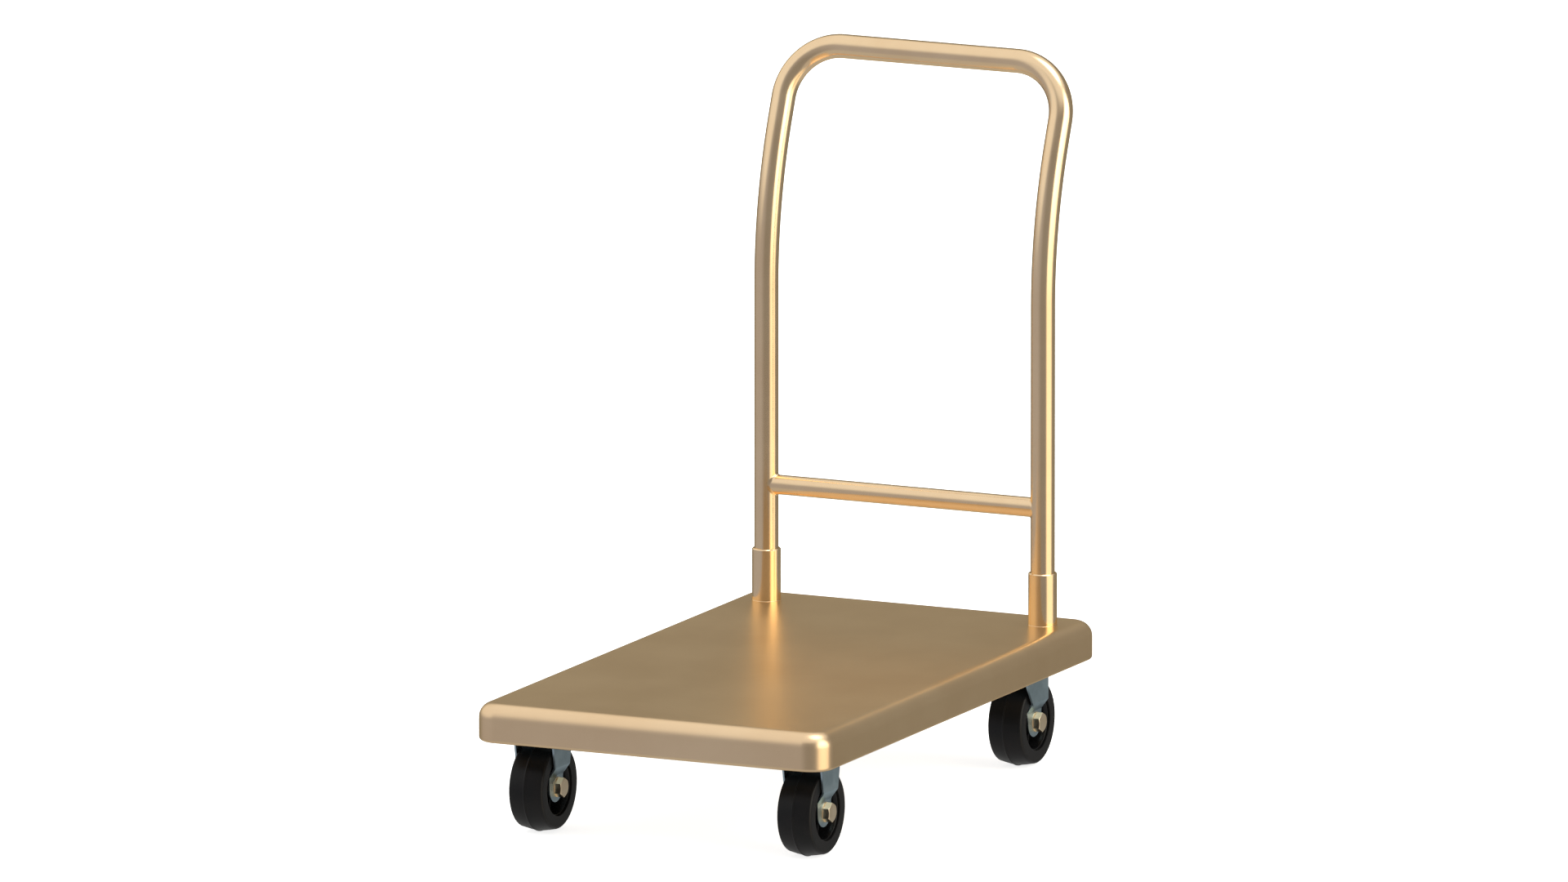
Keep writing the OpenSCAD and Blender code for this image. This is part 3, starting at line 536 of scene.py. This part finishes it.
for part in ribs + [centreMaster]:
    part.select_set(True)
bpy.context.view_layer.objects.active = centreMaster
bpy.ops.object.join()
settle(centreMaster)
smooth(centreMaster)

for caster in casters:
    low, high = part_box(caster + "_tyre")
    shift = (low + high) / 2 - axle
    finishPiece(copyOf(tyreMaster, shift), caster + "_tyre_body", caster + "_wheel",
                tyreRubber, caster + "_tyre")
    finishPiece(copyOf(centreMaster, shift), caster + "_wheel_centre", caster + "_wheel",
                wheelPlastic, caster + "_wheel_core")
for master in (tyreMaster, centreMaster):
    bpy.data.objects.remove(master, do_unlink=True)
print("wheels made")


def cleanCopy(node):
    # a copy of a frame part with its loose triangles joined into whole faces
    piece = copyOf(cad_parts[node])
    for key in list(piece.keys()):
        if key.startswith("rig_"):
            del piece[key]
    openForEditing(piece)
    bpy.ops.mesh.select_all(action="SELECT")
    bpy.ops.mesh.customdata_custom_splitnormals_clear()
    bpy.ops.mesh.remove_doubles(threshold=0.005 * mm)
    bpy.ops.mesh.dissolve_limited(angle_limit=math.radians(1))
    clearSelection()
    return piece


def carrierOf(caster):
    # a rigid caster's fork is fixed to the deck, a swivel caster's turns
    return "root" if caster.startswith("front") else caster + "_swivel"


# the forks: copies of the frame's own, with the joggle's bends and the edges rounded
fork = {
    "stepLow": 15.4 * mm, "stepHigh": 29.7 * mm,    # the joggle's two bends, above the axle
    "stepRoom": 2 * mm,
    "bendLeast": 8 * mm,        # a bend line is longer than this
    "bendRadius": 2.6 * mm, "bendSteps": 4,
    "edgeBreak": 0.35 * mm,
}
joggleLow = axle.z + fork["stepLow"] - fork["stepRoom"]
joggleHigh = axle.z + fork["stepHigh"] + fork["stepRoom"]


def isJoggleBend(edge):
    return (abs(edgeWay(edge).y) > 0.99 and edge.calc_length() > fork["bendLeast"]
            and joggleLow < edgeMiddle(edge).z < joggleHigh)


for caster in casters:
    piece = cleanCopy(caster + "_fork")
    openForEditing(piece)
    pick(piece, "edges", isJoggleBend)
    bpy.ops.mesh.bevel(offset=fork["bendRadius"], segments=fork["bendSteps"], profile=0.5,
                       clamp_overlap=True)
    softenEdges(piece, fork["edgeBreak"], 2, 40)
    smooth(piece, 30)
    finishPiece(piece, caster + "_fork_body", carrierOf(caster), zincPlate,
                caster + "_fork")
print("forks made")

# the axle bolts, nuts and washers: copies of the frame's own with a small break on each edge
hardware = {"parts": ("axle_bolt", "axle_nut", "axle_washers"), "edgeBreak": 0.25 * mm}
for caster in casters:
    for part in hardware["parts"]:
        piece = cleanCopy(caster + "_" + part)
        softenEdges(piece, hardware["edgeBreak"], 2, 35)
        smooth(piece, 30)
        finishPiece(piece, caster + "_" + part + "_body", carrierOf(caster), yellowZinc,
                    caster + "_" + part)
print("hardware made")

# the frame's own parts that stay: the first word found in a part's name gives its finish
finishes = {
    "channel": frameSteel, "stiffener": frameSteel, "backing_plate": frameSteel,
    "bush": bearingSteel, "balls": bearingSteel, "race": bearingSteel, "seal": sealRubber,
}
for nodeName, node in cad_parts.items():
    if node.hide_render:
        continue
    node.data.materials.clear()
    node.data.materials.append(
        next((finish for word, finish in finishes.items() if word in nodeName), zincPlate))
print("finishes given")

# the floor: matt white paper that glows a little, and can be seen through from below
floor = {"size": 60.0, "pale": "#f7f7f6", "deep": "#f5f5f4", "glow": 0.8, "patches": 30.0}
clearSelection()
bpy.ops.mesh.primitive_plane_add(size=floor["size"], location=(0, 0, 0))
floorPlane = bpy.context.object
floorPlane.name = "studioFloor"
material, tree = newMaterial("matt white studio sweep")
place = addNode(tree, "ShaderNodeTexCoord")
fibre = addNode(tree, "ShaderNodeTexNoise", inputs={"Scale": floor["patches"], "Detail": 3.0},
                links={"Vector": (place, "Object")})
tone = addNode(tree, "ShaderNodeMix", {"data_type": "RGBA"},
               {"A": hexColour(floor["deep"]), "B": hexColour(floor["pale"])},
               {"Factor": (fibre, "Fac")})
paper = addNode(tree, "ShaderNodeBsdfPrincipled",
                inputs={"Roughness": 0.9, "Specular IOR Level": 0.1,
                        "Emission Color": hexColour("#ffffff"), "Emission Strength": floor["glow"]},
                links={"Base Color": (tone, "Result")})
clear = addNode(tree, "ShaderNodeBsdfTransparent")
which = addNode(tree, "ShaderNodeNewGeometry")
mix = addNode(tree, "ShaderNodeMixShader",
              links={"Fac": (which, "Backfacing"), 1: (paper, "BSDF"), 2: (clear, "BSDF")})
addNode(tree, "ShaderNodeOutputMaterial", links={"Surface": (mix, "Shader")})
floorPlane.data.materials.append(material)
floorPlane.visible_glossy = False       # the studio below the horizon is in the world's colours

# the studio: grey walls all round, with a soft box, a tall panel and a lamp overhead, for the metal
# to reflect; a fade goes from where a thing starts to show to where it shows in full
studio = {
    "frontBand": "#949494", "leftBand": "#b2b3ba", "rearBand": "#8f8f8d",   # walls at eye height
    "ceiling": "#f8f8f6", "ground": "#bfbfbd", "backdrop": "#ffffff",
    "leftAzimuth": -60.0, "leftFade": (0.35, 0.9),      # compass fades are cosines
    "rearAzimuth": 195.0, "rearFade": (0.2, 0.75),
    "ceilingFade": (0.53, 0.75), "groundFade": (-0.35, -0.57),      # height fades are sines
    "boxWay": (-0.77, -0.148, 0.617),           # a wide soft box, high on the left
    "boxFade": (0.55, 0.79), "boxFootFade": (-0.1, 0.25),
    "panelAzimuth": 86.0, "panelFade": (0.82, 0.94),    # a tall warm panel to the right
    "panelLow": [1.3, 1.13, 0.86, 1.0], "panelHigh": [3.2, 3.1, 2.7, 1.0],
    "panelRiseFade": (-0.35, 0.45),
    "lampWay": (0.25, 0.1, 0.96), "lampFade": (0.92, 0.97),         # a small lamp overhead
    "lamp": [3.2, 3.2, 3.1, 1.0],
    "tall": 0.5,                                # squeezes heights, so panel and walls stand tall
}
world = bpy.data.worlds.new("softStudio")
world.use_nodes = True
bpy.context.scene.world = world
tree = world.node_tree
tree.nodes.clear()
place = addNode(tree, "ShaderNodeTexCoord")
squeezed = addNode(tree, "ShaderNodeVectorMath", {"operation": "MULTIPLY"},
                   {1: (1, 1, studio["tall"])}, {0: (place, "Generated")})
compass = addNode(tree, "ShaderNodeVectorMath", {"operation": "NORMALIZE"},
                  links={0: (squeezed, "Vector")})
height = addNode(tree, "ShaderNodeSeparateXYZ", links={"Vector": (place, "Generated")})


def compassWay(degrees):
    return (math.sin(math.radians(degrees)), -math.cos(math.radians(degrees)), 0)


around, view, climb = (compass, "Vector"), (place, "Generated"), (height, "Z")
shares = {}
for name, source, way in (
        ("left", around, compassWay(studio["leftAzimuth"])),
        ("rear", around, compassWay(studio["rearAzimuth"])),
        ("panel", around, compassWay(studio["panelAzimuth"])),
        ("box", view, studio["boxWay"]), ("lamp", view, studio["lampWay"]),
        ("ceiling", climb, None), ("ground", climb, None),
        ("boxFoot", climb, None), ("panelRise", climb, None)):
    # a share from 0 to 1 that grows softly as the view turns towards a way, or climbs
    if way:
        cosine = addNode(tree, "ShaderNodeVectorMath", {"operation": "DOT_PRODUCT"}, {1: way},
                         {0: source})
        source = (cosine, "Value")
    low, high = studio[name + "Fade"]
    shares[name] = addNode(tree, "ShaderNodeMapRange", {"interpolation_type": "SMOOTHSTEP"},
                           {"From Min": low, "From Max": high}, {"Value": source})
boxShown = addNode(tree, "ShaderNodeMath", {"operation": "MULTIPLY"},
                   links={0: (shares["box"], "Result"), 1: (shares["boxFoot"], "Result")})
bright = addNode(tree, "ShaderNodeMath", {"operation": "MAXIMUM"},
                 links={0: (shares["ceiling"], "Result"), 1: (boxShown, "Value")})
panelLight = addNode(tree, "ShaderNodeMix", {"data_type": "RGBA"},
                     {"A": studio["panelLow"], "B": studio["panelHigh"]},
                     {"Factor": (shares["panelRise"], "Result")})

# each layer covers the ones before it by its share
walls = addNode(tree, "ShaderNodeMix", {"data_type": "RGBA"},
                {"A": hexColour(studio["frontBand"]), "B": hexColour(studio["leftBand"])},
                {"Factor": (shares["left"], "Result")})
for share, colour in ((shares["rear"], hexColour(studio["rearBand"])),
                      (bright, hexColour(studio["ceiling"])),
                      (shares["ground"], hexColour(studio["ground"])),
                      (shares["lamp"], studio["lamp"])):
    walls = addNode(tree, "ShaderNodeMix", {"data_type": "RGBA"}, {"B": colour},
                    {"Factor": (share, 0), "A": (walls, "Result")})
walls = addNode(tree, "ShaderNodeMix", {"data_type": "RGBA"},
                links={"Factor": (shares["panel"], "Result"), "A": (walls, "Result"),
                       "B": (panelLight, "Result")})
rays = addNode(tree, "ShaderNodeLightPath")
shown = addNode(tree, "ShaderNodeMix", {"data_type": "RGBA"}, {"B": hexColour(studio["backdrop"])},
                {"Factor": (rays, "Is Camera Ray"), "A": (walls, "Result")})
glow = addNode(tree, "ShaderNodeBackground", links={"Color": (shown, "Result")})
addNode(tree, "ShaderNodeOutputWorld", links={"Surface": (glow, "Background")})
print("studio lit")
